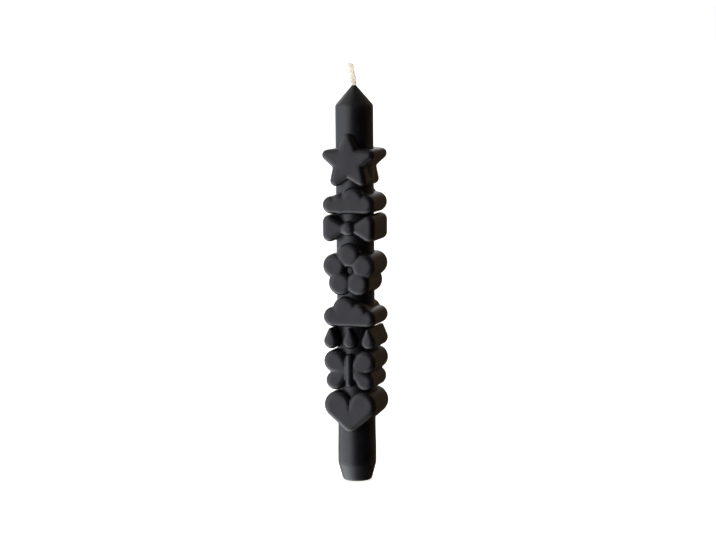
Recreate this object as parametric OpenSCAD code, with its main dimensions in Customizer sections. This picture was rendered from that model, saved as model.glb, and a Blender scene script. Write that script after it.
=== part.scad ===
// Taper candle with puffy relief blocks up its shaft.
// The wax shaft stands on its tapered foot, with a cotton wick through its axis.
// Each relief block is a separate wax casting: a collar, bored to the shaft, that slides on
// from the tip and is welded in place by a film of melted wax.
// Frame: origin at the centre of the foot, +Z up the shaft, relief faces towards -Y and +Y.

/* [Shaft] */
// Diameter of the straight shaft that carries the relief
shaft_d = 22; // [20:0.1:26]
// Extra diameter of the shank below the relief, on which the lowest block stops
shank_step = 0.4; // [0.4:0.1:1]
// Height of the plain shank between the foot taper and the relief
shank_h = 19.5; // [8:0.5:40]
// Height of the foot taper
foot_h = 10; // [5:0.5:20]
// Distance that the foot taper draws in, at each side
foot_draw = 2.6; // [1:0.1:5]
// Chamfer round the flat end of the foot
foot_chamfer = 0.7; // [0.3:0.1:1.5]
// Height of the bare neck above the relief
neck_h = 15; // [5:0.5:60]
// Height of the pointed tip
tip_h = 12; // [9:0.5:25]
// Width of the flat nose round the wick
nose_land = 0.3; // [0.3:0.1:1.5]
// Radius of the shoulder between neck and tip
shoulder_r = 2.5; // [1:0.5:4]

/* [Wick] */
// Diameter of the braided wick
wick_d = 2.6; // [1.5:0.1:3.5]
// Radial clearance of the wick in its bore
wick_fit = 0.05; // [0.02:0.01:0.1]
// Length of wick that stands out of the nose
wick_out = 13; // [10:0.5:25]
// Straight length of wick above the nose, before it bends over
wick_rise = 1; // [0.5:0.5:4]
// Radius that it bends to
wick_bend_r = 32; // [20:1:80]
// Direction that it leans towards, in degrees from +X
wick_heading = 198; // [0:1:360]
// Distance that the trimmed lower end sits inside the foot
wick_trim = 0.4; // [0.2:0.1:2]

/* [Relief] */
// Distance that the blocks' faces stand proud of the shaft, at front and back
relief_front = 3.6; // [3:0.1:7]
// Distance that the blocks stand proud of the shaft, at each side
relief_side = 4.8; // [3.5:0.1:6]
// Rounding along the front and back edges
relief_edge_r = 3; // [1:0.25:3.5]
// Space between one block and the next
relief_gap = 0.5; // [0.4:0.1:4]
// Radial film of wax between a block's bore and the shaft
weld_film = 0.1; // [0.05:0.05:0.2]
// Height that a knot or a body stands proud of its block's faces
raised = 1; // [0.5:0.25:2]

/* [Heart] */
// Radius of a lobe
lobe_r = 8.4; // [7:0.1:9]
// Lobe centre, above the heart's tip centre
lobe_rise = 11.4; // [10:0.1:15]
// Radius of the heart's tip
heart_tip_r = 4.6; // [2.5:0.1:5.5]

/* [Butterfly] */
// Radius of the upper wings
upper_wing_r = 6.8; // [5.5:0.1:7]
// Upper wing centre, above the block's middle
upper_wing_z = 5.1; // [4.5:0.1:6]
// Radius of the lower wings
lower_wing_r = 5.5; // [4.5:0.1:6]
// Lower wing centre, below the block's middle
lower_wing_z = 6.2; // [5.5:0.1:7]
// Distance that the lower wings stop short of the upper wings' reach
lower_wing_inset = 1.2; // [0:0.1:2.5]
// Radius of the wings' roots
wing_root_r = 2.6; // [2:0.1:3.5]
// Radius of the body
moth_body_r = 2.4; // [2:0.1:3]
// Length of the body between its round ends' centres
moth_body_l = 15; // [12:0.5:17]

/* [Raindrops] */
// Radius of a drop
drop_r = 4.5; // [4:0.1:4.8]
// Radius of a drop's point
drop_point_r = 1.4; // [1:0.1:2]
// Distance from a drop's centre to its point's centre
drop_l = 6.6; // [5:0.1:9]

/* [Clouds] */
// Radius of a cloud's end below its tall puff
cloud_big_end_r = 5.8; // [5:0.1:6.5]
// Radius of its other end
cloud_small_end_r = 5.2; // [4.6:0.1:6]
// Radius of the tall puff
cloud_tall_r = 7.6; // [6.5:0.1:8]
// Tall puff's centre, to one side of the axis
cloud_tall_x = 2.6; // [1.5:0.1:4]
// Radius of the low puff
cloud_low_r = 6.2; // [5.5:0.1:7]
// Low puff's centre, to the other side of the axis
cloud_low_x = 5.2; // [4:0.1:6.5]
// Distance that the low puff's top lies below the cloud's top
cloud_low_drop = 3.5; // [2:0.1:4]
// Half height of the flat-bottomed base
cloud_base_r = 5; // [4:0.1:5.5]
// Height of the cloud from its flat bottom to its top
cloud_h = 17.8; // [17:0.1:21]
// Height of the small cloud
small_cloud_h = 15.5; // [15.5:0.1:18]

/* [Flower] */
// Number of petals
petal_count = 5; // [5:1:6]
// Radius of one petal
petal_r = 7.2; // [6.5:0.1:7.8]

/* [Bow] */
// Half height of a loop at its outer end
bow_half_h = 7.8; // [7:0.1:9]
// Radius of a loop's outer corners
bow_corner_r = 4; // [2.5:0.1:5]
// Radius of a loop's inner end
bow_root_r = 3.2; // [2:0.1:4]
// Radius of the knot
knot_r = 4.4; // [3.5:0.1:5.5]

/* [Star] */
// Number of points
star_points = 5; // [5:1:6]
// Radius of the middle, from which the points taper
star_middle_r = 8.6; // [6:0.1:9.5]
// Radius of a point's end
star_point_r = 3.2; // [2:0.1:4]

/* [Hidden] */
$fn = 64;
// Facets round a block, and round one of its edges, where it is blended from two rounds
blend_fn = 28;
blend_edge_fn = 16;
// Overrun of a cut past the faces that it opens
overrun = 1;

wax = "#2b2b2e";
cotton = "#ece6d6";

shaft_r = shaft_d / 2;
shank_r = shaft_r + shank_step / 2;
foot_r = shank_r - foot_draw;
wick_bore_r = wick_d / 2 + wick_fit;
nose_r = wick_bore_r + nose_land;
relief_bore_r = shaft_r + weld_film;
relief_depth = shaft_d + 2 * relief_front;
raised_depth = relief_depth + 2 * raised;
relief_half_w = shaft_r + relief_side;

// Turn of round i of n about a block's middle, with the first one on top
function turn_of(i, n) = 90 + i * 360 / n;

// Distance from a block's middle to n rounds of radius r that just fill the block's width
function ring_for(n, r) = (relief_half_w - r) / max([for (i = [0 : n - 1]) cos(turn_of(i, n))]);

// Depth below its middle that a ring of n rounds of radius r reaches
function ring_low(n, r) = r - ring_for(n, r) * min([for (i = [0 : n - 1]) sin(turn_of(i, n))]);

petal_ring_r = ring_for(petal_count, petal_r);
star_reach = ring_for(star_points, star_point_r);

// Top of a cloud of height h, which no round of it rises above
function cloud_top(h) =
    max(h, 2 * max(cloud_big_end_r, cloud_small_end_r, cloud_tall_r, cloud_low_r, cloud_base_r));

// Reach of each block below and above its own middle, in order up the shaft
moth_half_l = moth_body_l / 2 + moth_body_r;
bow_reach = max(bow_half_h, knot_r);
lows = [
    heart_tip_r,
    max(lower_wing_z + lower_wing_r, moth_half_l),
    drop_r,
    0,
    ring_low(petal_count, petal_r),
    bow_reach,
    0,
    ring_low(star_points, star_point_r),
];
highs = [
    lobe_rise + lobe_r,
    max(upper_wing_z + upper_wing_r, moth_half_l),
    drop_l + drop_point_r,
    cloud_top(cloud_h),
    petal_ring_r + petal_r,
    bow_reach,
    cloud_top(small_cloud_h),
    star_reach + star_point_r,
];

// Height of the middle of block i: each block stands on the one below, one gap apart
relief_start = foot_h + shank_h + relief_gap;
function block_z(i) =
    i == 0 ? relief_start + lows[0] : block_z(i - 1) + highs[i - 1] + relief_gap + lows[i];

last_block = len(lows) - 1;
relief_end = block_z(last_block) + highs[last_block];
shoulder_z = relief_end + neck_h;
nose_z = shoulder_z + tip_h;

echo(str("wax height ", nose_z, " mm, relief from ", relief_start, " to ", relief_end, " mm"));

// Edge rounding of a round of radius r: the named radius, or less where the round is slimmer
function edge_for(r) = min(relief_edge_r, 0.9 * r);

// Half section of a round block: reach out from its axis, with two rounded corners
module half_section(reach, depth, edge_fn) {
    edge = edge_for(reach);
    translate([0, -depth / 2]) square([reach - edge, depth]);
    translate([0, -depth / 2 + edge]) square([reach, depth - 2 * edge]);
    for (side = [0, 1])
        mirror([0, side])
            translate([reach - edge, depth / 2 - edge])
                intersection() {
                    circle(r = edge, $fn = edge_fn);
                    square(edge);
                }
}

// A round with its axis front to back, at (x, z) in the face
module round_at(x, z, r, depth = relief_depth, edge_fn = $fn) {
    translate([x, 0, z])
        rotate([90, 0, 0])
            rotate_extrude() half_section(r, depth, edge_fn);
}

// A round used inside a blend
module blend_round(x, z, r) {
    round_at(x, z, r, edge_fn = blend_edge_fn, $fn = blend_fn);
}

// A straight bar of half height r, running length along +X from (x, z), with rounded long edges
module bar_at(x, z, r, length, depth = relief_depth) {
    translate([x, 0, z])
        rotate([90, 0, 90])
            linear_extrude(length)
                for (side = [0, 1])
                    mirror([0, side])
                        rotate([0, 0, 90])
                            half_section(r, depth, $fn);
}

// What is left of block i once the shaft's bore is cut through it, set at its height
module collar(i) {
    translate([0, 0, block_z(i)])
        difference() {
            children();
            translate([0, 0, -lows[i] - overrun])
                cylinder(r = relief_bore_r, h = lows[i] + highs[i] + 2 * overrun);
        }
}

// Half outline of the shaft, from the flat of the foot up to the nose
module shaft_outline() {
    shoulder = [shaft_r - shoulder_r, shoulder_z];
    // Turn round the shoulder at which the slope of the tip leaves it for the edge of the nose
    run = shoulder.x - nose_r;
    leave = 180 - atan2(tip_h, run) - acos(shoulder_r / norm([run, tip_h]));
    outwards = [cos(leave), sin(leave)];
    polygon([
        [0, 0],
        [foot_r - foot_chamfer, 0],
        [foot_r, foot_chamfer],
        [shank_r, foot_h],
        [shank_r, foot_h + shank_h],
        [shaft_r, foot_h + shank_h],
        [shaft_r, shoulder_z],
        shoulder,
        shoulder + shoulder_r * outwards,
        [nose_r, nose_z],
        [0, nose_z],
    ]);
    intersection() {
        translate(shoulder) circle(r = shoulder_r);
        polygon([
            shoulder,
            shoulder + 2 * shoulder_r * [1, 0],
            shoulder + 2 * shoulder_r * outwards,
        ]);
    }
}

module shaft() {
    color(wax)
        difference() {
            rotate_extrude() shaft_outline();
            translate([0, 0, -overrun]) cylinder(r = wick_bore_r, h = nose_z + 2 * overrun);
        }
}

module wick() {
    bend_z = nose_z + wick_rise;
    lean = (wick_out - wick_rise) / wick_bend_r * 180 / PI;
    color(cotton)
        rotate([0, 0, wick_heading])
            translate([0, 0, bend_z]) {
                rotate([180, 0, 0]) cylinder(d = wick_d, h = bend_z - wick_trim);
                translate([wick_bend_r, 0, 0])
                    rotate([90, 0, 180])
                        rotate_extrude(angle = lean)
                            translate([wick_bend_r, 0]) circle(d = wick_d);
            }
}

module heart() {
    color(wax)
        collar(0)
            for (side = [-1, 1])
                hull() {
                    blend_round(side * (relief_half_w - lobe_r), lobe_rise, lobe_r);
                    blend_round(0, 0, heart_tip_r);
                }
}

module butterfly() {
    color(wax)
        collar(1) {
            for (side = [-1, 1]) {
                hull() {
                    blend_round(side * (relief_half_w - upper_wing_r), upper_wing_z, upper_wing_r);
                    blend_round(side * moth_body_r, 0, wing_root_r);
                }
                hull() {
                    blend_round(side * (relief_half_w - lower_wing_inset - lower_wing_r), -lower_wing_z,
                                lower_wing_r);
                    blend_round(side * moth_body_r, 0, wing_root_r);
                }
            }
            rotate([0, -90, 0]) bar_at(-moth_body_l / 2, 0, moth_body_r, moth_body_l, raised_depth);
            for (end = [-1, 1]) round_at(0, end * moth_body_l / 2, moth_body_r, raised_depth);
        }
}

module raindrops() {
    pitch = relief_half_w - drop_r;
    color(wax)
        collar(2)
            for (i = [-1 : 1])
                hull() {
                    blend_round(i * pitch, 0, drop_r);
                    blend_round(i * pitch, drop_l, drop_point_r);
                }
}

// A cloud on its flat bottom, its tall puff on the left (side -1) or on the right (side 1)
module cloud_shape(h, side) {
    big_end_x = relief_half_w - cloud_big_end_r;
    small_end_x = relief_half_w - cloud_small_end_r;
    mirror([(side + 1) / 2, 0, 0]) {
        round_at(-big_end_x, cloud_big_end_r, cloud_big_end_r);
        round_at(small_end_x, cloud_small_end_r, cloud_small_end_r);
        round_at(-cloud_tall_x, max(cloud_tall_r, h - cloud_tall_r), cloud_tall_r);
        round_at(cloud_low_x, max(cloud_low_r, h - cloud_low_drop - cloud_low_r), cloud_low_r);
        bar_at(-big_end_x, cloud_base_r, cloud_base_r, big_end_x + small_end_x);
    }
}

module cloud() {
    color(wax) collar(3) cloud_shape(cloud_h, -1);
}

module flower() {
    color(wax)
        collar(4)
            for (i = [0 : petal_count - 1]) {
                turn = turn_of(i, petal_count);
                round_at(petal_ring_r * cos(turn), petal_ring_r * sin(turn), petal_r);
            }
}

module bow() {
    corner_x = relief_half_w - bow_corner_r;
    corner_z = bow_half_h - bow_corner_r;
    color(wax)
        collar(5) {
            for (side = [-1, 1])
                hull() {
                    blend_round(side * knot_r, 0, bow_root_r);
                    for (end = [-1, 1]) blend_round(side * corner_x, end * corner_z, bow_corner_r);
                }
            round_at(0, 0, knot_r, raised_depth);
        }
}

module small_cloud() {
    color(wax) collar(6) cloud_shape(small_cloud_h, 1);
}

module star() {
    color(wax)
        collar(7)
            for (i = [0 : star_points - 1]) {
                turn = turn_of(i, star_points);
                hull() {
                    blend_round(0, 0, star_middle_r);
                    blend_round(star_reach * cos(turn), star_reach * sin(turn), star_point_r);
                }
            }
}

shaft();
wick();
heart();
butterfly();
raindrops();
cloud();
flower();
bow();
small_cloud();
star();
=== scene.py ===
# %% [markdown]
# # A black taper candle with puffy relief blocks
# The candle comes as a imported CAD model: ten plain pieces that have the right size and place. This
# lesson dresses them for the camera. Every piece is replaced by a softer mesh with a cast skin, and
# the wick becomes a real braid. The CAD model stays underneath as a fixed frame, so each new piece is
# built straight in its final place, with the origin at the middle of the candle's foot.

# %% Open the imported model
import math
import random

import bmesh
import bpy
from mathutils import Matrix, Vector, noise


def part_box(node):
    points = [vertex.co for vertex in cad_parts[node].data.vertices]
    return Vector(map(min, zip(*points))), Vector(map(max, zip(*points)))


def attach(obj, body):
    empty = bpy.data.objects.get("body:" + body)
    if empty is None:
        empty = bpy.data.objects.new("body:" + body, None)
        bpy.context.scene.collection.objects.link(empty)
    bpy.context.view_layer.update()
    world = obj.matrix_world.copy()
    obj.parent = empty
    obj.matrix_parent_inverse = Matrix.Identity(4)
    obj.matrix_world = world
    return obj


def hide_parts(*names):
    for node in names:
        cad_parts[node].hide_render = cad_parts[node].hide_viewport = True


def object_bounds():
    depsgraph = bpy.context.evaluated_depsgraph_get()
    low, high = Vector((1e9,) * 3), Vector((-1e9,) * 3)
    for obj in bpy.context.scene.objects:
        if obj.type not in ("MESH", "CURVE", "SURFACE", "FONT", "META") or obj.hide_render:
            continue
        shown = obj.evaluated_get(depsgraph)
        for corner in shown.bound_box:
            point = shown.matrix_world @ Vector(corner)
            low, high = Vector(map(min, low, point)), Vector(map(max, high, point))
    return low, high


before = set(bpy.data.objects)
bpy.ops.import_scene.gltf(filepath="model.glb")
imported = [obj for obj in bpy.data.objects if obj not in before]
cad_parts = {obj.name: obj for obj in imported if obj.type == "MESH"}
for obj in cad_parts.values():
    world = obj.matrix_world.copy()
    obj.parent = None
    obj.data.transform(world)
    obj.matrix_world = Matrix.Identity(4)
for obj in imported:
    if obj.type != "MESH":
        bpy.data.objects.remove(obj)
cad_low, cad_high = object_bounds()
MM = 0.001
print("CAD candle of", len(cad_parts), "pieces")
print("CAD candle in mm:", [round(side / MM, 1) for side in cad_high - cad_low])

# %% [markdown]
# ## The camera
# The photograph looks at the candle from 18 degrees to its right, from a little above its tip and from
# more than a metre away, so the sides hardly converge. A camera could be aimed with a Track To
# constraint, but a constraint hides the small pan and roll of a shot made without a tripod. Here the turn
# is built from plain rotations, in the order in which a photographer makes them: turn, tilt, then roll.

# %% Set up the camera
VIEW_TURN = 18.0  # degrees, as the pan, tilt and roll are
PAN_RIGHT = 0.069
TILT_DOWN = 6.888
ROLL = -0.516
VIEW_DISTANCE = 1.15124  # metres
VIEW_HEIGHT = 0.26299
SENSOR_WIDTH = 36.0  # millimetres, as the lens is
LENS = 99.96

turn = math.radians(VIEW_TURN)
camera_data = bpy.data.cameras.new("photo_camera")
camera_data.sensor_width = SENSOR_WIDTH
camera_data.lens = LENS
camera = bpy.data.objects.new("photo_camera", camera_data)
camera.matrix_world = (
    Matrix.Translation((VIEW_DISTANCE * math.sin(turn), -VIEW_DISTANCE * math.cos(turn), VIEW_HEIGHT))
    @ Matrix.Rotation(turn - math.radians(PAN_RIGHT), 4, "Z")
    @ Matrix.Rotation(math.radians(90 - TILT_DOWN), 4, "X")
    @ Matrix.Rotation(math.radians(ROLL), 4, "Z")
)
scene = bpy.context.scene
scene.collection.objects.link(camera)
scene.camera = camera
scene.view_settings.view_transform = "Standard"
print("camera at", [round(side, 3) for side in camera.matrix_world.translation])

# %% [markdown]
# ## Two helpers for materials and light
# A node tree is easier to read in code when adding a node takes one line. The first helper adds a node,
# sets its properties, and fills its inputs with plain values or with the outputs of other nodes. The
# second turns an sRGB hex colour, as a paint program shows it, into the linear numbers that shaders use.

# %% Node and colour helpers
def add_node(tree, kind, inputs=None, **settings):
    """Adds a node with its settings, and fills its inputs with values or other nodes' outputs."""
    node = tree.nodes.new(kind)
    for name, value in settings.items():
        setattr(node, name, value)
    for socket, value in (inputs or {}).items():
        if isinstance(value, bpy.types.NodeSocket):
            tree.links.new(value, node.inputs[socket])
        else:
            node.inputs[socket].default_value = value
    return node


def colour(hex_code):
    """An sRGB hex colour as linear RGBA."""
    parts = [int(hex_code[i : i + 2], 16) / 255 for i in (1, 3, 5)]
    linear = [part / 12.92 if part <= 0.04045 else ((part + 0.055) / 1.055) ** 2.4 for part in parts]
    return (*linear, 1.0)


print("charcoal in linear light:", [round(part, 4) for part in colour("#1b1b1d")[:3]])

# %% [markdown]
# ## The studio light
# Black wax shows almost no colour of its own: what the eye reads is the room mirrored in a blurred sheen.
# In the photograph a big window stands on the left and reaches low, the right is dark, and a little warm
# light comes back from behind on the right. Area lights could do this, but every softbox then also burns
# a bright patch on the floor. Instead, the world itself is painted with a few soft discs of light, each
# given by its direction, its size as angles, its strength and its colour.

# %% List the softboxes
SOFTBOXES = [
    # name, azimuth, elevation, full to, none from, strength, colour
    ("window", -62, -14, 36, 54, 1.5, "#eaf1ff"),
    ("window_edge", -28, 0, 3, 30, 1.3, "#fff8fb"),
    ("low_window", -60, -42, 15, 45, 1.5, "#fbfcff"),
    ("low_side", -105, -35, 5, 37, 1.4, "#f6faff"),
    ("table", -80, -70, 10, 50, 2.6, "#ffffff"),
    ("back_window", -145, 15, 8, 35, 2.2, "#f8f9ff"),
    ("high_front", -60, 40, 10, 42, 1.25, "#fffaf8"),
    ("high_back", -160, 45, 10, 42, 0.7, "#fffaf8"),
    ("warm_wall", 180, 0, 2, 34, 0.16, "#ffce8c"),
]
AMBIENT = 0.01


def direction(azimuth, elevation):
    """The way to a light: azimuth 0 is in front of the candle, and 90 is on its right."""
    side = math.radians(azimuth)
    lift = math.radians(elevation)
    return Vector((math.sin(side) * math.cos(lift), -math.cos(side) * math.cos(lift), math.sin(lift)))


print("softboxes:", [name for name, *_ in SOFTBOXES])

# %% [markdown]
# A photographed sky could hold the same light, but nine discs need no picture. For each disc, the dot
# product of the direction looked in and the direction of the disc says how near its middle we look, and a
# smooth Map Range fades that from full to none. Add Shader sums the discs up. Rays that come straight from
# the camera get plain white instead, so the background stays clean.

# %% Paint the softboxes into the world
world = bpy.data.worlds.new("studio")
world.use_nodes = True
scene.world = world
tree = world.node_tree
tree.nodes.clear()
look = add_node(tree, "ShaderNodeTexCoord").outputs["Generated"]
light = add_node(tree, "ShaderNodeBackground", {"Strength": AMBIENT}).outputs[0]
for name, azimuth, elevation, full_to, none_from, strength, tint in SOFTBOXES:
    facing = add_node(
        tree, "ShaderNodeVectorMath", {0: look, 1: direction(azimuth, elevation)}, operation="DOT_PRODUCT"
    )
    glow = add_node(
        tree,
        "ShaderNodeMapRange",
        {
            "Value": facing.outputs["Value"],
            "From Min": math.cos(math.radians(none_from)),
            "From Max": math.cos(math.radians(full_to)),
            "To Max": strength,
        },
        interpolation_type="SMOOTHSTEP",
    )
    disc = add_node(
        tree, "ShaderNodeBackground", {"Color": colour(tint), "Strength": glow.outputs["Result"]}
    )
    light = add_node(tree, "ShaderNodeAddShader", {0: light, 1: disc.outputs[0]}).outputs[0]
white = add_node(tree, "ShaderNodeBackground", {"Color": colour("#ffffff"), "Strength": 1.0})
seen = add_node(tree, "ShaderNodeLightPath").outputs["Is Camera Ray"]
sky = add_node(tree, "ShaderNodeMixShader", {0: seen, 1: light, 2: white.outputs[0]})
add_node(tree, "ShaderNodeOutputWorld", {"Surface": sky.outputs[0]})
print("world of", len(tree.nodes), "nodes")

# %% [markdown]
# Light that is right for black wax leaves a white wick grey. A photographer would add a snoot, a narrow
# tube on a lamp that lights one small thing. Two spots with a very narrow cone do that here, a strong one
# in front and a weaker one on the right. A third lamp, a wide soft sun behind the candle on its right,
# keeps that side from going quite black. It is left out of the sheen, so the wax shows no hot spot.

# %% Hang the lamps
SPOT_DISTANCE = 0.6
SPOT_WIDTH = 1.7  # degrees across the cone
SPOT_BLEND = 0.5
SPOT_RADIUS = 0.01
SUN_WIDTH = 60  # degrees
AIM_DEPTH = 5 * MM
WICK_MIDDLE = Vector((0, 0, cad_high.z - AIM_DEPTH))
LAMPS = [
    # name, kind, azimuth, elevation, power, colour
    ("wick_spot_front", "SPOT", 8, 25, 27.0, "#ffffff"),
    ("wick_spot_right", "SPOT", 95, 25, 4.8, "#ffffff"),
    ("side_fill", "SUN", 147, 5, 5.0, "#ffdfb4"),
]

for name, kind, azimuth, elevation, power, tint in LAMPS:
    lamp_data = bpy.data.lights.new(name, kind)
    lamp_data.energy = power
    lamp_data.color = colour(tint)[:3]
    if kind == "SPOT":
        lamp_data.spot_size = math.radians(SPOT_WIDTH)
        lamp_data.spot_blend = SPOT_BLEND
        lamp_data.shadow_soft_size = SPOT_RADIUS
    else:
        lamp_data.angle = math.radians(SUN_WIDTH)
    lamp = bpy.data.objects.new(name, lamp_data)
    lamp.location = WICK_MIDDLE + SPOT_DISTANCE * direction(azimuth, elevation)
    lamp.rotation_euler = direction(azimuth, elevation).to_track_quat("Z", "Y").to_euler()
    lamp.visible_camera = False
    lamp.visible_glossy = kind == "SPOT"
    scene.collection.objects.link(lamp)
print("lamps:", [name for name, *_ in LAMPS])

# %% [markdown]
# ## The floor
# The candle stands on a plain sheet of white paper that runs out of sight. A paper floor under this light
# would come out grey, so most of its white is glow and only a part of it answers to light and shadow: the
# candle gets a faint contact shadow and the paper melts into the white behind it. The candle doesn't see
# the paper in its sheen, because the world already has the light that comes up from a table.

# %% Lay the floor
FLOOR_HALF = 30.0
FLOOR_GLOW = 0.7
PAPER_WHITE = "#f2f2f0"
PAPER_ROUGHNESS = 0.9
PAPER_SPECULAR = 0.1

bm = bmesh.new()
bmesh.ops.create_grid(bm, x_segments=1, y_segments=1, size=FLOOR_HALF)
floor_mesh = bpy.data.meshes.new("floor")
bm.to_mesh(floor_mesh)
bm.free()
floor = bpy.data.objects.new("floor", floor_mesh)
scene.collection.objects.link(floor)
paper = bpy.data.materials.new("white_paper")
paper.use_nodes = True
paper_skin = paper.node_tree.nodes["Principled BSDF"]
paper_skin.inputs["Base Color"].default_value = colour(PAPER_WHITE)
paper_skin.inputs["Roughness"].default_value = PAPER_ROUGHNESS
paper_skin.inputs["Specular IOR Level"].default_value = PAPER_SPECULAR
paper_skin.inputs["Emission Color"].default_value = colour("#ffffff")
paper_skin.inputs["Emission Strength"].default_value = FLOOR_GLOW
floor_mesh.materials.append(paper)
floor.visible_glossy = False
floor.visible_diffuse = False
print("floor", 2 * FLOOR_HALF, "m across")

# %% [markdown]
# ## The wax
# The body is paraffin wax, dyed black and cast in a soft silicone mould. That gives an even, matte, almost
# rubbery skin: a broad dull sheen, a faint milky bloom in patches, edges that handling has rubbed a
# little paler, a soft waviness from the mould, a fine grain and a few pinholes from air bubbles. A painted
# image could hold all this, but patterns made by nodes stay sharp at any distance. They all read Object
# coordinates, so they sit still on the wax, and each scale is one divided by a real size in metres.

# %% Mix the black wax
GRAIN = 0.9 * MM  # the real grain is about 0.2 mm, drawn coarser so that it shows in the render
MOULD_WAVE = 7 * MM
BLOOM_PATCH = 11 * MM
WAX_IOR = 1.5  # paraffin starts at about 1.44, raised to match the sheen

wax = bpy.data.materials.new("black_cast_paraffin_wax")
wax.use_nodes = True
tree = wax.node_tree
skin = tree.nodes["Principled BSDF"]
skin.inputs["IOR"].default_value = WAX_IOR
place = add_node(tree, "ShaderNodeTexCoord").outputs["Object"]
bloom = add_node(tree, "ShaderNodeTexNoise", {"Vector": place, "Scale": 1 / BLOOM_PATCH, "Detail": 4.0})
grain = add_node(tree, "ShaderNodeTexNoise", {"Vector": place, "Scale": 1 / GRAIN, "Detail": 2.0})
wave = add_node(tree, "ShaderNodeTexNoise", {"Vector": place, "Scale": 1 / MOULD_WAVE, "Detail": 1.0})
print("wax patterns:", GRAIN / MM, "mm grain and", round(MOULD_WAVE / MM, 1), "mm waves")

# %% [markdown]
# The colour goes from dark to milky with the bloom, and then to a rubbed tone where the mesh has a sharp
# ridge. The ridges come from an attribute named ridge, which each piece gets when it is modelled: above
# zero on edges, below zero in creases. The grain breaks the rubbing up, because wear is never even.

# %% Colour the wax
WAX_DARK = "#131316"
WAX_MILKY = "#1e1e22"
WAX_RUBBED = "#36363a"
BLOOM_STARTS = 0.4  # noise value
BLOOM_FULL = 0.7

milky = add_node(
    tree,
    "ShaderNodeMapRange",
    {"Value": bloom.outputs["Fac"], "From Min": BLOOM_STARTS, "From Max": BLOOM_FULL},
)
base = add_node(
    tree,
    "ShaderNodeMix",
    {0: milky.outputs["Result"], 6: colour(WAX_DARK), 7: colour(WAX_MILKY)},
    data_type="RGBA",
)
ridge = add_node(tree, "ShaderNodeAttribute", attribute_name="ridge").outputs["Fac"]
wear = add_node(
    tree,
    "ShaderNodeMath",
    {0: ridge, 1: grain.outputs["Fac"]},
    operation="MULTIPLY",
    use_clamp=True,
)
worn = add_node(
    tree,
    "ShaderNodeMix",
    {0: wear.outputs[0], 6: base.outputs[2], 7: colour(WAX_RUBBED)},
    data_type="RGBA",
)
tree.links.new(worn.outputs[2], skin.inputs["Base Color"])
print("wax colours:", WAX_DARK, WAX_MILKY, WAX_RUBBED)

# %% [markdown]
# Wax with a bloom is also duller than clean wax. One roughness for the whole candle would be simpler, but
# the sheen would then be as even as on moulded plastic. So the roughness follows the bloom's noise too,
# over a wider span of it than the colour does.

# %% Dull the sheen
DULL_STARTS = 0.3  # noise value
DULL_FULL = 0.7
CLEAN_ROUGHNESS = 0.4
BLOOM_ROUGHNESS = 0.5

dull = add_node(
    tree,
    "ShaderNodeMapRange",
    {
        "Value": bloom.outputs["Fac"],
        "From Min": DULL_STARTS,
        "From Max": DULL_FULL,
        "To Min": CLEAN_ROUGHNESS,
        "To Max": BLOOM_ROUGHNESS,
    },
)
tree.links.new(dull.outputs["Result"], skin.inputs["Roughness"])
print("wax roughness from", CLEAN_ROUGHNESS, "to", BLOOM_ROUGHNESS)

# %% [markdown]
# The relief of the skin is a bump, because its heights are a few hundredths of a millimetre. Bump nodes
# work in metres, so each gets its real height as Distance. The pinholes are the centres of Voronoi cells.
# The cells fill the wax in depth too, so the skin meets only a few of the centres.

# %% Roughen the wax
GRAIN_HEIGHT = 0.012 * MM
WAVE_HEIGHT = 0.09 * MM
PINHOLE_DEPTH = 0.12 * MM
PINHOLE_SPACING = 6 * MM
PINHOLE_SIZE = 0.07  # a share of the spacing

cells = add_node(tree, "ShaderNodeTexVoronoi", {"Vector": place, "Scale": 1 / PINHOLE_SPACING})
pit = add_node(
    tree,
    "ShaderNodeMapRange",
    {"Value": cells.outputs["Distance"], "From Max": PINHOLE_SIZE},
    interpolation_type="SMOOTHSTEP",
)
waves = add_node(
    tree,
    "ShaderNodeBump",
    {"Height": wave.outputs["Fac"], "Distance": WAVE_HEIGHT},
)
pits = add_node(
    tree,
    "ShaderNodeBump",
    {"Height": pit.outputs["Result"], "Distance": PINHOLE_DEPTH, "Normal": waves.outputs[0]},
)
grains = add_node(
    tree,
    "ShaderNodeBump",
    {"Height": grain.outputs["Fac"], "Distance": GRAIN_HEIGHT, "Normal": pits.outputs[0]},
)
tree.links.new(grains.outputs[0], skin.inputs["Normal"])
print("wax bump:", round(GRAIN_HEIGHT / MM, 3), "mm grain,", round(WAVE_HEIGHT / MM, 3), "mm waves")

# %% [markdown]
# ## The cotton
# The wick is braided from bleached cotton yarn and primed with clear wax, which makes it cream and stiff
# enough to stand. The hollows between strands get a darker tone, and that tone is painted shade. Fibres
# run along it, so the noise that draws them is stretched ten times along the candle's axis.

# %% Mix the primed cotton
FIBRE = 0.25 * MM  # a cotton fibre is about 0.02 mm, so whole bundles are drawn
FIBRE_STRETCH = 10
FUZZ_HEIGHT = 0.02 * MM
COTTON_ROUGHNESS = 0.62
COTTON_IOR = 1.5  # between cotton, about 1.53, and the wax in it, about 1.44

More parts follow.
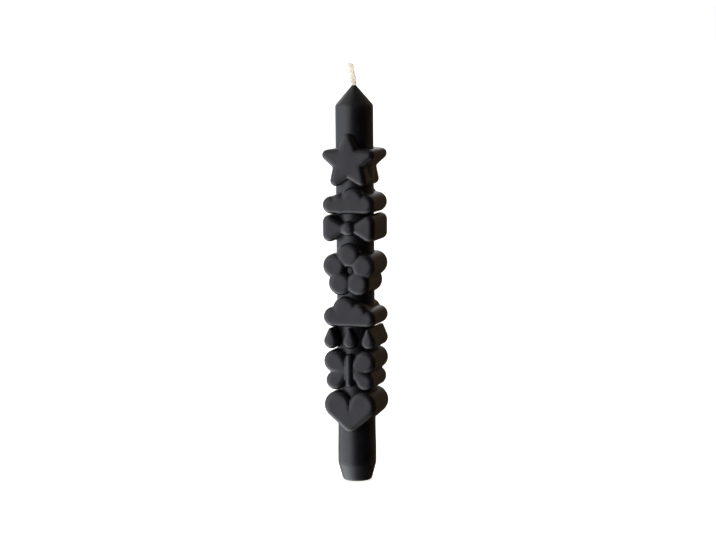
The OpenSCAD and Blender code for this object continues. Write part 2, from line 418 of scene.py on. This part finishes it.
cotton = bpy.data.materials.new("wax_primed_braided_cotton")
cotton.use_nodes = True
tree = cotton.node_tree
skin = tree.nodes["Principled BSDF"]
skin.inputs["Roughness"].default_value = COTTON_ROUGHNESS
skin.inputs["IOR"].default_value = COTTON_IOR
place = add_node(tree, "ShaderNodeTexCoord").outputs["Object"]
combed = add_node(tree, "ShaderNodeMapping", {"Vector": place, "Scale": (1, 1, 1 / FIBRE_STRETCH)})
fibres = add_node(
    tree,
    "ShaderNodeTexNoise",
    {"Vector": combed.outputs[0], "Scale": 1 / FIBRE, "Detail": 3.0},
)
fuzz = add_node(
    tree,
    "ShaderNodeBump",
    {"Height": fibres.outputs["Fac"], "Distance": FUZZ_HEIGHT},
)
tree.links.new(fuzz.outputs[0], skin.inputs["Normal"])
print("cotton fibres drawn", round(FIBRE / MM, 2), "mm wide")

# %% [markdown]
# The hollows of a braid lie in shade, and here that shade is painted into the colour: the same ridge
# attribute as on the wax finds the hollows and gives them a darker painted shade, and the fibres' noise
# streaks the crests.

# %% Colour the cotton
# painted shade: the hollow tone stands in for the shade in the braid's hollows; the crest tone is the
# cotton's own cream
COTTON_HOLLOW_SHADE = "#c9c1ad"
COTTON_CREST = "#d3cdbe"
HOLLOW_RIDGE = -0.8
CREST_RIDGE = 0.5
STREAK_STARTS = 0.3  # noise value
STREAK_FULL = 0.7
STREAK_LOW = 0.75

# the mask of the painted shade: 0 deep in the hollows, 1 on the crests
hollow_shade_mask = add_node(
    tree,
    "ShaderNodeMapRange",
    {
        "Value": add_node(tree, "ShaderNodeAttribute", attribute_name="ridge").outputs["Fac"],
        "From Min": HOLLOW_RIDGE,
        "From Max": CREST_RIDGE,
    },
)
streak = add_node(
    tree,
    "ShaderNodeMapRange",
    {
        "Value": fibres.outputs["Fac"],
        "From Min": STREAK_STARTS,
        "From Max": STREAK_FULL,
        "To Min": STREAK_LOW,
        "To Max": 1.0,
    },
)
# the painted shade and the fibres' streaks together
shade_and_streak = add_node(
    tree,
    "ShaderNodeMath",
    {0: hollow_shade_mask.outputs["Result"], 1: streak.outputs["Result"]},
    operation="MULTIPLY",
)
# cream on the crests, painted shade in the hollows
cotton_tone_and_shade = add_node(
    tree,
    "ShaderNodeMix",
    {0: shade_and_streak.outputs[0], 6: colour(COTTON_HOLLOW_SHADE), 7: colour(COTTON_CREST)},
    data_type="RGBA",
)
tree.links.new(cotton_tone_and_shade.outputs[2], skin.inputs["Base Color"])
print("cotton colours:", COTTON_HOLLOW_SHADE, COTTON_CREST)

# %% [markdown]
# ## Ridges and creases
# Each piece needs its ridge attribute. One way would be to measure the angle at every edge, but on a fine
# mesh those angles are tiny. It is simpler to let a copy of the mesh relax: points on edges sink as it
# smooths and points in creases rise, so the distance that each point moved tells ridge from crease.

# %% Helpers that find the ridges
RELAX_FACTOR = 0.5


def relax(bm, passes):
    """Smooths every point towards its neighbours, several times over."""
    for _ in range(passes):
        bmesh.ops.smooth_vert(
            bm, verts=bm.verts, factor=RELAX_FACTOR, use_axis_x=True, use_axis_y=True, use_axis_z=True
        )


def mark_ridges(bm, passes, full):
    """Stores how far each point stands proud of the relaxed skin: 1 is full mm, and below 0 is a crease."""
    layer = bm.verts.layers.float.new("ridge")
    relaxed = bm.copy()
    relax(relaxed, passes)
    bm.normal_update()
    for point, sunk in zip(bm.verts, relaxed.verts):
        proud = (point.co - sunk.co).dot(point.normal)
        point[layer] = max(-1.0, min(1.0, proud / full))
    relaxed.free()


print("one pass moves a point", RELAX_FACTOR, "of the way to its neighbours")

# %% [markdown]
# ## From shape to piece
# All shapes are modelled in millimetres, which keeps the numbers readable. An object scale could make them
# metres, but a pattern on Object coordinates would then change size, so the mesh itself is scaled at the
# very end. Faces are shaded smooth, apart from edges that are really sharp.

# %% Helpers that finish a piece
SHARP_ANGLE = math.radians(50)


def as_mesh(name, bm, scale):
    """The bmesh as mesh data, scaled. The bmesh is used up."""
    bmesh.ops.scale(bm, vec=(scale, scale, scale), verts=bm.verts)
    mesh = bpy.data.meshes.new(name)
    bm.to_mesh(mesh)
    bm.free()
    return mesh


def place_piece(name, bm, finish, node):
    """Makes the bmesh a piece in metres that rides on the candle and stands for one CAD node."""
    mesh = as_mesh(name, bm, MM)
    mesh.materials.append(finish)
    mesh.shade_smooth()
    mesh.set_sharp_from_angle(angle=SHARP_ANGLE)
    piece = bpy.data.objects.new(name, mesh)
    scene.collection.objects.link(piece)
    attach(piece, "root")
    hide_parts(node)
    low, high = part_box(node)
    tall = round((high - low).z / MM, 1)
    print(name, "has", len(mesh.polygons), "faces; node", node, "is", tall, "mm tall")


print("edges over", round(math.degrees(SHARP_ANGLE)), "degrees stay sharp")

# %% [markdown]
# ## Rounding and turning
# Almost everything on this candle is a round of some kind. A bevel turns a corner of an outline, or an edge
# of a box, into a round of equal segments. A spin turns an outline about an axis, like a bowl on a lathe,
# and the seam and the poles are then merged. A Bevel or Screw modifier would do the same live, but the
# shapes below are melted together at once, so they are made here and now.

# %% Helpers that round and turn
MERGE = 0.001


def round_off(bm, parts, rounding, segments, affect):
    """Rounds corners of an outline, or edges of a solid, by a distance."""
    bmesh.ops.bevel(
        bm,
        geom=parts,
        offset=rounding,
        offset_type="OFFSET",
        affect=affect,
        segments=segments,
        profile=0.5,
        material=-1,
    )


def turn_whole(bm, centre, axis, steps):
    """Spins an outline once round an axis into a closed skin."""
    bmesh.ops.spin(
        bm,
        geom=bm.verts[:] + bm.edges[:],
        cent=centre,
        axis=axis,
        angle=math.tau,
        steps=steps,
        use_merge=True,
    )
    bmesh.ops.remove_doubles(bm, verts=bm.verts, dist=MERGE)
    bmesh.ops.recalc_face_normals(bm, faces=bm.faces)


print("points closer than", MERGE, "mm are merged")

# %% [markdown]
# ## The shaft
# The shaft is turned from one outline: a foot that tapers in to fit a holder, a shank that eases into a
# straight body, and a pointed tip. A cylinder with a cone on it would have hard corners, so the outline's
# corners are rounded first, each by its own amount, and then it is spun. A shallow dimple is left under
# the foot, where wax shrinks as it cools, and at the nose a thin collar of wax climbs the wick.

# %% Draw the shaft's outline
SHAFT_R = 11.0
SHANK_R = 11.2
FOOT_R = 8.6
FOOT_H = 10.0
FOOT_CHAMFER = 0.7
SHANK_EASE = 21.0
RELIEF_FOOT = 29.5
TIP_H = 10.95
BORE_R = 1.35
DIMPLE_R = 5.4
DIMPLE_H = 0.5
RIM_INNER_R = 6.4
RIM_OUTER_R = 7.9
COLLAR_R = 1.6
COLLAR_DROP = 0.1
COLLAR_CLIMB = 0.3
CORNER_SEGMENTS = 5
NOSE_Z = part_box("shaft")[1].z / MM

# Radius, height and rounding of each corner of the outline, from the wick's bore round to the nose
SHAFT_CORNERS = [
    (BORE_R, DIMPLE_H, 0),
    (DIMPLE_R, DIMPLE_H, 0.4),
    (RIM_INNER_R, 0.0, 0.4),
    (RIM_OUTER_R, 0.0, 0.45),
    (FOOT_R, FOOT_CHAMFER, 0.45),
    (SHANK_R, FOOT_H, 1.2),
    (SHANK_R, SHANK_EASE, 2.0),
    (SHAFT_R, RELIEF_FOOT, 2.0),
    (SHAFT_R, NOSE_Z - TIP_H, 0.9),
    (COLLAR_R, NOSE_Z - COLLAR_DROP, 0.2),
    (BORE_R, NOSE_Z + COLLAR_CLIMB, 0),
]


def shaft_outline():
    """The half outline as a closed loop of edges, with its corners rounded."""
    bm = bmesh.new()
    corners = [bm.verts.new((radius, 0, height)) for radius, height, _ in SHAFT_CORNERS]
    for start, end in zip(corners, corners[1:] + corners[:1]):
        bm.edges.new((start, end))
    for corner, (_, _, rounding) in zip(corners, SHAFT_CORNERS):
        if rounding:
            round_off(bm, [corner], rounding, CORNER_SEGMENTS, "VERTICES")
    return bm


outline = shaft_outline()
print("outline of", len(outline.verts), "points, nose at", round(NOSE_Z, 2), "mm")

# %% [markdown]
# A candle is never quite true: the mould gives it a slow waviness of a few hundredths of a millimetre,
# which is what makes a sheen look soft. Long edges of the outline are cut up before the spin, so there are
# points to move. Noise from the point's own place moves them, which gives the same result in each run.

# %% Spin the shaft
SHAFT_STEPS = 144
ROW_H = 1.5
SHAFT_WAVE = 14.0
SHAFT_WAVE_AMOUNT = 0.05
SHAFT_RIDGE_PASSES = 12
SHAFT_RIDGE_FULL = 0.12


def wobble(bm, amount, length):
    """Moves each point along its normal by a smooth noise of its own place."""
    bm.normal_update()
    for point in bm.verts:
        point.co += point.normal * amount * noise.noise(point.co / length)


for edge in outline.edges[:]:
    cuts = int(edge.calc_length() / ROW_H)
    if cuts:
        bmesh.ops.subdivide_edges(outline, edges=[edge], cuts=cuts)
turn_whole(outline, (0, 0, 0), (0, 0, 1), SHAFT_STEPS)
wobble(outline, SHAFT_WAVE_AMOUNT, SHAFT_WAVE)
mark_ridges(outline, SHAFT_RIDGE_PASSES, SHAFT_RIDGE_FULL)
place_piece("shaft_wax", outline, wax, "shaft")

# %% [markdown]
# ## Rounds
# The relief blocks are puffy, like sweets made in a soft mould, so each is built from soft rounds. A round
# is a thick disc that faces the front, with generously rounded edges. A cylinder with a Bevel modifier
# would come close. Here it is a half outline with two rounded corners, spun about a front-to-back axis,
# which gives even faces all round.

# %% Helpers that make a round
RELIEF_DEPTH = 29.2
EDGE_ROUND = 3.0
EDGE_SEGMENTS = 8
SLIM_SHARE = 0.9
ROUND_STEPS = 64


def edge_for(radius):
    """The rounding of a shape of this half width: the same all over, or less where it is slim."""
    return min(EDGE_ROUND, SLIM_SHARE * radius)


def soft_round(x, z, radius, depth=RELIEF_DEPTH):
    """A thick disc with soft edges, facing the front at (x, z)."""
    bm = bmesh.new()
    half = depth / 2
    corners = [(0, -half), (radius, -half), (radius, half), (0, half)]
    points = [bm.verts.new((x + out, y, z)) for out, y in corners]
    for start, end in zip(points, points[1:]):
        bm.edges.new((start, end))
    round_off(bm, points[1:3], edge_for(radius), EDGE_SEGMENTS, "VERTICES")
    turn_whole(bm, (x, 0, z), (0, 1, 0), ROUND_STEPS)
    return bm


test_round = soft_round(0, 0, 2 * EDGE_ROUND)
print("a round has", len(test_round.faces), "faces")
test_round.free()

# %% [markdown]
# ## Blends
# Hearts, drops and star points run smoothly from a big round to a small one. Bridging the two would need
# matching points, while a convex hull needs nothing: it stretches one skin over two or three rounds, and
# the points that end up inside are deleted.

# %% Helpers that make a blend
def gather(shapes):
    """Brings several bmeshes together in one. The parts are used up."""
    whole = bmesh.new()
    scrap = bpy.data.meshes.new("scrap")
    for shape in shapes:
        shape.to_mesh(scrap)
        shape.free()
        whole.from_mesh(scrap)
    bpy.data.meshes.remove(scrap)
    return whole


def blend(*rounds):
    """One convex skin over several rounds."""
    bm = gather(rounds)
    bmesh.ops.delete(bm, geom=bm.edges[:], context="EDGES_FACES")
    hull = bmesh.ops.convex_hull(bm, input=bm.verts)
    inside = [part for part in hull["geom_interior"] if isinstance(part, bmesh.types.BMVert)]
    bmesh.ops.delete(bm, geom=inside, context="VERTS")
    return bm


test_blend = blend(soft_round(0, 0, 2 * EDGE_ROUND), soft_round(0, 3 * EDGE_ROUND, EDGE_ROUND))
print("a blend has", len(test_blend.faces), "faces")
test_blend.free()

# %% [markdown]
# ## Bars
# A cloud's flat underside and a butterfly's body are straight, so they are bars: a box whose long edges
# are rounded. Rounding every edge would be simpler, but it would also pinch the ends, where the next round
# joins on, so only the edges along one axis are picked.

# %% Helper that makes a bar
ALONG_AXIS = 0.9  # cosine of the angle to the axis


def soft_bar(x, z, size, along, depth=RELIEF_DEPTH):
    """A box of (width, height) in the face, its edges along one axis rounded."""
    width, height = size
    bm = bmesh.new()
    bmesh.ops.create_cube(bm, size=1)
    bmesh.ops.scale(bm, vec=(width, depth, height), verts=bm.verts)
    bmesh.ops.translate(bm, vec=(x, 0, z), verts=bm.verts)
    long_edges = []
    for edge in bm.edges:
        run = edge.verts[1].co - edge.verts[0].co
        if abs(run.normalized().dot(along)) > ALONG_AXIS:
            long_edges.append(edge)
    round_off(bm, long_edges, edge_for(min(size) / 2), EDGE_SEGMENTS, "EDGES")
    return bm


test_bar = soft_bar(0, 0, (4 * EDGE_ROUND, 3 * EDGE_ROUND), Vector((1, 0, 0)))
print("a bar has", len(test_bar.faces), "faces")
test_bar.free()

# %% [markdown]
# ## Casting a block in one skin
# The rounds of a block overlap, and their creases must look poured, not cut. A Boolean union keeps creases
# razor sharp, while Voxel Remesh shrinks one fine skin over everything, and a few passes of smoothing then
# round the creases as a soft mould does. Both are modifiers, so a small helper applies a modifier to a
# bmesh. The rod is as thick as the shaft's bore in a block.

# %% Helpers for modifiers and the bore
RELIEF_BORE_R = 11.1


def evaluated(draft):
    """What an object's modifiers or curve settings make of it, as a bmesh."""
    scene.collection.objects.link(draft)
    view = bpy.context.evaluated_depsgraph_get()
    made = bpy.data.meshes.new_from_object(draft.evaluated_get(view))
    result = bmesh.new()
    result.from_mesh(made)
    bpy.data.meshes.remove(made)
    return result


def after(bm, kind, **settings):
    """What a modifier makes of a bmesh. The bmesh is used up."""
    draft = bpy.data.objects.new("draft", as_mesh("draft", bm, 1))
    modifier = draft.modifiers.new("step", kind)
    for name, value in settings.items():
        setattr(modifier, name, value)
    result = evaluated(draft)
    bpy.data.meshes.remove(draft.data)
    return result


def bored_rod():
    """The rod that cuts the shaft's bore, as an object in millimetres."""
    bm = bmesh.new()
    bmesh.ops.create_cone(
        bm,
        cap_ends=True,
        segments=SHAFT_STEPS,
        radius1=RELIEF_BORE_R,
        radius2=RELIEF_BORE_R,
        depth=2 * NOSE_Z,
    )
    rod = bpy.data.objects.new("bore_rod", as_mesh("bore_rod", bm, 1))
    scene.collection.objects.link(rod)
    return rod


rod = bored_rod()
print("bore of", 2 * RELIEF_BORE_R, "mm")

# %% [markdown]
# A block is melted, softened and given its waviness and its ridges while it is still solid. Only then is
# the bore cut through with a Boolean, so its rim stays crisp, and the block is a real collar that fits
# the shaft. The cut leaves a few slivers, faces too thin to see, and those are dissolved.

# %% Helper that casts a block
VOXEL = 0.4
SOFTEN_PASSES = 7
BLOCK_WAVE = 9.0
BLOCK_WAVE_AMOUNT = 0.09
BLOCK_RIDGE_PASSES = 16
BLOCK_RIDGE_FULL = 0.35
SLIVER = 0.001


def cast_block(node, shapes, height):
    """Melts shapes into one soft skin at a height, bores it for the shaft and puts it in place."""
    whole = gather(shapes)
    bmesh.ops.translate(whole, vec=(0, 0, height), verts=whole.verts)
    block = after(whole, "REMESH", mode="VOXEL", voxel_size=VOXEL)
    relax(block, SOFTEN_PASSES)
    wobble(block, BLOCK_WAVE_AMOUNT, BLOCK_WAVE)
    mark_ridges(block, BLOCK_RIDGE_PASSES, BLOCK_RIDGE_FULL)
    block = after(block, "BOOLEAN", operation="DIFFERENCE", solver="EXACT", object=rod)
    bmesh.ops.dissolve_degenerate(block, dist=SLIVER, edges=block.edges)
    place_piece(node + "_block", block, wax, node)


def foot_of(node):
    """Height of the underside of a CAD node, in millimetres."""
    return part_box(node)[0].z / MM


print("blocks get a skin of", VOXEL, "mm squares; the lowest starts at", round(foot_of("heart"), 1), "mm")

# %% [markdown]
# ## Heart and butterfly
# The heart is two blends that share their lower round. The butterfly has four wings, each a blend from a
# big round to a small root at the body, and the body itself stands a little proud of the wings. Either
# could be traced as one outline and extruded, but then its edges wouldn't swell as these do.
# Every block goes where its CAD node is, so its height comes from the node's own box.

# %% Cast the heart and the butterfly
RELIEF_HALF_W = 15.8
RAISED_DEPTH = 31.2


def heart():
    lobe_r = 8.4
    tip_r = 4.6
    lobe_rise = 11.4
    halves = []
    for side in (-1, 1):
        lobe = soft_round(side * (RELIEF_HALF_W - lobe_r), lobe_rise, lobe_r)
        halves.append(blend(lobe, soft_round(0, 0, tip_r)))
    cast_block("heart", halves, foot_of("heart") + tip_r)


def butterfly():
    body_r = 2.4
    body_l = 15.0
    root_r = 2.6
    upper_r = 6.8
    upper_rise = 5.1
    lower_r = 5.5
    lower_drop = 6.2
    lower_inset = 1.2
    shapes = [soft_bar(0, 0, (2 * body_r, body_l), Vector((0, 0, 1)), RAISED_DEPTH)]
    for side in (-1, 1):
        shapes.append(soft_round(0, side * body_l / 2, body_r, RAISED_DEPTH))
        upper = soft_round(side * (RELIEF_HALF_W - upper_r), upper_rise, upper_r)
        lower = soft_round(side * (RELIEF_HALF_W - lower_inset - lower_r), -lower_drop, lower_r)
        for wing in (upper, lower):
            shapes.append(blend(wing, soft_round(side * body_r, 0, root_r)))
    cast_block("butterfly", shapes, foot_of("butterfly") + lower_drop + lower_r)


heart()
butterfly()

# %% [markdown]
# ## Raindrops and clouds
# Three drops stand in a row, each a blend from a round to a small point. A cloud is a row of rounds on
# a flat-bottomed bar, with one tall puff and one low puff. The small cloud could be a scaled copy, but its
# rounding would shrink too, so it is made by the same steps, lower and turned round.

# %% Cast the raindrops and the clouds
CLOUD_H = 17.8
SMALL_CLOUD_H = 15.5


def raindrops():
    drop_r = 4.5
    point_r = 1.4
    drop_l = 6.6
    pitch = RELIEF_HALF_W - drop_r
    drops = []
    for x in (-pitch, 0, pitch):
        drops.append(blend(soft_round(x, 0, drop_r), soft_round(x, drop_l, point_r)))
    cast_block("raindrops", drops, foot_of("raindrops") + drop_r)


def cloud(node, height, side):
    """A cloud of some height with its tall puff on the left, side 1, or on the right, side -1."""
    big_end_r = 5.8
    small_end_r = 5.2
    tall_r = 7.6
    tall_x = 2.6
    low_r = 6.2
    low_x = 5.2
    low_drop = 3.5
    base_r = 5.0
    big_end_x = RELIEF_HALF_W - big_end_r
    small_end_x = RELIEF_HALF_W - small_end_r
    base_w = big_end_x + small_end_x
    base_x = side * (small_end_x - big_end_x) / 2
    shapes = [
        soft_round(-side * big_end_x, big_end_r, big_end_r),
        soft_round(side * small_end_x, small_end_r, small_end_r),
        soft_round(-side * tall_x, height - tall_r, tall_r),
        soft_round(side * low_x, height - low_drop - low_r, low_r),
        soft_bar(base_x, base_r, (base_w, 2 * base_r), Vector((1, 0, 0))),
    ]
    cast_block(node, shapes, foot_of(node))


raindrops()
cloud("cloud", CLOUD_H, 1)
cloud("small_cloud", SMALL_CLOUD_H, -1)

# %% [markdown]
# ## Flower, bow and star
# The flower is a ring of five rounds, which leave a small hole in the middle. The bow has two loops, each
# a blend from a root to two corners, and a knot that stands proud. The star is five blends that taper
# from a shared middle to slim points. The rings could be sized by eye, but here a little trigonometry makes
# each ring exactly as wide as a block may be.

# %% Helpers for rings of five
RING_COUNT = 5
RING_TURNS = [math.pi / 2 + math.tau * i / RING_COUNT for i in range(RING_COUNT)]  # the first is on top


def ring_for(radius):
    """Distance from the middle to a ring of rounds that just fill the block's width."""
    return (RELIEF_HALF_W - radius) / max(math.cos(turn) for turn in RING_TURNS)


def ring_low(radius):
    """Depth below its middle that such a ring reaches."""
    return radius - ring_for(radius) * min(math.sin(turn) for turn in RING_TURNS)


print("rings turn by", [round(math.degrees(turn)) for turn in RING_TURNS], "degrees")

# %% [markdown]
# The three are cast from the flower up. On the bow, the loops' corners are blended together with the root
# in one skin, because two separate blends would leave a crease down the middle of each loop.

# %% Cast the flower, the bow and the star
def flower():
    petal_r = 7.2
    ring = ring_for(petal_r)
    petals = [soft_round(ring * math.cos(turn), ring * math.sin(turn), petal_r) for turn in RING_TURNS]
    cast_block("flower", petals, foot_of("flower") + ring_low(petal_r))


def bow():
    half_h = 7.8
    corner_r = 4.0
    root_r = 3.2
    knot_r = 4.4
    corner_x = RELIEF_HALF_W - corner_r
    corner_z = half_h - corner_r
    shapes = [soft_round(0, 0, knot_r, RAISED_DEPTH)]
    for side in (-1, 1):
        corners = [soft_round(side * corner_x, end * corner_z, corner_r) for end in (-1, 1)]
        shapes.append(blend(soft_round(side * knot_r, 0, root_r), *corners))
    cast_block("bow", shapes, foot_of("bow") + half_h)


def star():
    point_r = 3.2
    middle_r = 8.6
    reach = ring_for(point_r)
    points = []
    for turn in RING_TURNS:
        point = soft_round(reach * math.cos(turn), reach * math.sin(turn), point_r)
        points.append(blend(soft_round(0, 0, middle_r), point))
    cast_block("star", points, foot_of("star") + ring_low(point_r))


flower()
bow()
star()
bpy.data.objects.remove(rod)

# %% [markdown]
# ## The wick
# The wick runs through the whole candle and stands out of the nose, leaning to the left. Its line is
# straight up to the nose, then a short arc, then straight again. A Bezier curve could draw that, but a
# little geometry also gives the direction of the wick's flat side at any point, which the plait needs.

# %% Work out the wick's line
WICK_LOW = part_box("wick")[0].z / MM
WICK_OUT = 13.0
WICK_RISE = 0.2
BEND_R = 14.0
LEAN = math.radians(11)
HEADING = math.radians(198)
UP = Vector((0, 0, 1))
lean_to = Vector((math.cos(HEADING), math.sin(HEADING), 0))
across = UP.cross(lean_to)
bend_z = NOSE_Z + WICK_RISE
nose_run = NOSE_Z - WICK_LOW
wick_length = nose_run + WICK_OUT


def wick_frame(run):
    """Point on the wick's line at a distance along it, with the direction of its flat side there."""
    past = max(0.0, run - (bend_z - WICK_LOW))
    angle = min(LEAN, past / BEND_R)
    beyond = max(0.0, past - LEAN * BEND_R)
    over = BEND_R * (1 - math.cos(angle)) + beyond * math.sin(angle)
    up = min(WICK_LOW + run, bend_z) + BEND_R * math.sin(angle) + beyond * math.cos(angle)
    side = lean_to * math.cos(angle) - UP * math.sin(angle)
    return lean_to * over + UP * up, side


tip, tip_side = wick_frame(wick_length)
print("wick", round(wick_length, 1), "mm long, tip at", [round(part, 1) for part in tip])

# %% [markdown]
# A strand of the wick is twisted from four plies. Four thin curves wound round each other could show that,
# but at this size the plies are only a lobed section that turns as it goes along, which a curve's tilt
# does for free. So the section is a clover with one lobe for each ply.

# %% Draw the section of a strand
STRAND_R = 0.66
PLY_DEPTH = 0.05
PLIES = 4
PLY_POINTS = 5


def ply_section():
    """A clover-shaped outline, one lobe for each ply, as a curve object."""
    data = bpy.data.curves.new("ply_section", "CURVE")
    spline = data.splines.new("POLY")
    count = PLY_POINTS * PLIES
    spline.points.add(count - 1)
    for i, point in enumerate(spline.points):
        turn = math.tau * i / count
        radius = STRAND_R - PLY_DEPTH * (1 - abs(math.cos(PLIES * turn / 2)))
        point.co = (radius * math.cos(turn), radius * math.sin(turn), 0, 1)
    spline.use_cyclic_u = True
    section = bpy.data.objects.new("ply_section", data)
    scene.collection.objects.link(section)
    return section


section = ply_section()
print("section of", len(section.data.splines[0].points), "points")

# %% [markdown]
# The wick is a plait of three strands. A textured tube would look flat at the tip, where the braid opens,
# so every strand is a curve with the clover as its bevel. Along the wick a strand swings from side to
# side once while it goes in and out twice, and the three are a third of a swing apart: that is a plait.
# Above the nose it opens a little, because nothing holds it there, so it gets both wider and fuller.

# %% Plait the strands
STRANDS = 3
PLAIT_PITCH = 5.6
SWING = 0.68
DIP = 0.26
PLY_PITCH = 7.0
STEP = 0.4
SPARE = 3.0
OPEN_RUN = 3.0
OPEN_BY = 0.55


def strand(number):
    """One strand of the plait, as a bmesh."""
    data = bpy.data.curves.new("strand", "CURVE")
    data.dimensions = "3D"
    data.bevel_mode = "OBJECT"
    data.bevel_object = section
    data.twist_mode = "Z_UP"
    spline = data.splines.new("POLY")
    count = int((wick_length + 2 * SPARE) / STEP)
    spline.points.add(count - 1)
    for i, point in enumerate(spline.points):
        run = STEP * i - SPARE
        centre, side = wick_frame(run)
        phase = math.tau * (run / PLAIT_PITCH + number / STRANDS)
        opened = 1 + OPEN_BY * min(1.0, max(0.0, run - nose_run) / OPEN_RUN)
        place = centre + opened * (side * SWING * math.sin(phase) + across * DIP * math.sin(2 * phase))
        point.co = (*place, 1)
        point.tilt = run * math.tau / PLY_PITCH
        point.radius = opened
    bm = evaluated(bpy.data.objects.new("strand", data))
    bpy.data.curves.remove(data)
    return bm


braid = gather([strand(number) for number in range(STRANDS)])
bpy.data.curves.remove(section.data)
print("plait of", STRANDS, "strands with", len(braid.faces), "faces")

# %% [markdown]
# The strands were made a little too long at both ends. The wick is trimmed level under the foot, and its
# tip was snipped with scissors, a little aslant. A Boolean with a big box could cut them, but a cut by a
# plane is exact and simple. Every open rim is then filled.

# %% Snip the ends
SNIP_SLANT = math.radians(14)
CUT_EXACT = 0.0001
WICK_MERGE = 0.0005
WICK_RIDGE_PASSES = 6
WICK_RIDGE_FULL = 0.1


def snip(bm, place, outwards):
    """Cuts off what lies beyond a plane and closes the cut."""
    bmesh.ops.bisect_plane(
        bm,
        geom=bm.verts[:] + bm.edges[:] + bm.faces[:],
        dist=CUT_EXACT,
        plane_co=place,
        plane_no=outwards,
        clear_outer=True,
    )
    rim = [edge for edge in bm.edges if edge.is_boundary]
    bmesh.ops.holes_fill(bm, edges=rim, sides=0)


tip_up = tip_side.cross(across).normalized()
snip_normal = (tip_up * math.cos(SNIP_SLANT) - tip_side * math.sin(SNIP_SLANT)).normalized()
snip(braid, tip, snip_normal)
snip(braid, Vector((0, 0, WICK_LOW)), -UP)
bmesh.ops.remove_doubles(braid, verts=braid.verts, dist=WICK_MERGE)
bmesh.ops.recalc_face_normals(braid, faces=braid.faces)
mark_ridges(braid, WICK_RIDGE_PASSES, WICK_RIDGE_FULL)
print("snipped plait with", len(braid.faces), "faces")

# %% [markdown]
# A few loose fibres stand out of the tip. A hair system would make many more than there are, so these are
# thin cones, sunk a little into the cut. A seeded random places and turns them, so that each run gives the
# same tuft.

# %% Add loose fibres
FIBRE_COUNT = 14
FIBRE_R = 0.07
FIBRE_SIDES = 5
FIBRE_TAPER = 3
FIBRE_SHORT = 0.7
FIBRE_LONG = 1.3
FIBRE_SUNK = 0.5
TUFT_HALF_W = 1.2
TUFT_HALF_D = 0.8
ROOT_SPREAD = 0.8
SPLAY = 0.25
TUFT_SEED = 7

chance = random.Random(TUFT_SEED)
for _ in range(FIBRE_COUNT):
    length = chance.uniform(FIBRE_SHORT, FIBRE_LONG)
    aside = tip_side * chance.uniform(-TUFT_HALF_W, TUFT_HALF_W)
    aside += across * chance.uniform(-TUFT_HALF_D, TUFT_HALF_D)
    root = tip + aside * ROOT_SPREAD - tip_up * FIBRE_SUNK
    stray = (tip_up + aside * SPLAY).normalized()
    aim = UP.rotation_difference(stray).to_matrix().to_4x4()
    bmesh.ops.create_cone(
        braid,
        cap_ends=True,
        segments=FIBRE_SIDES,
        radius1=FIBRE_R,
        radius2=FIBRE_R / FIBRE_TAPER,
        depth=length,
        matrix=Matrix.Translation(root + stray * length / 2) @ aim,
    )
place_piece("wick_braid", braid, cotton, "wick")
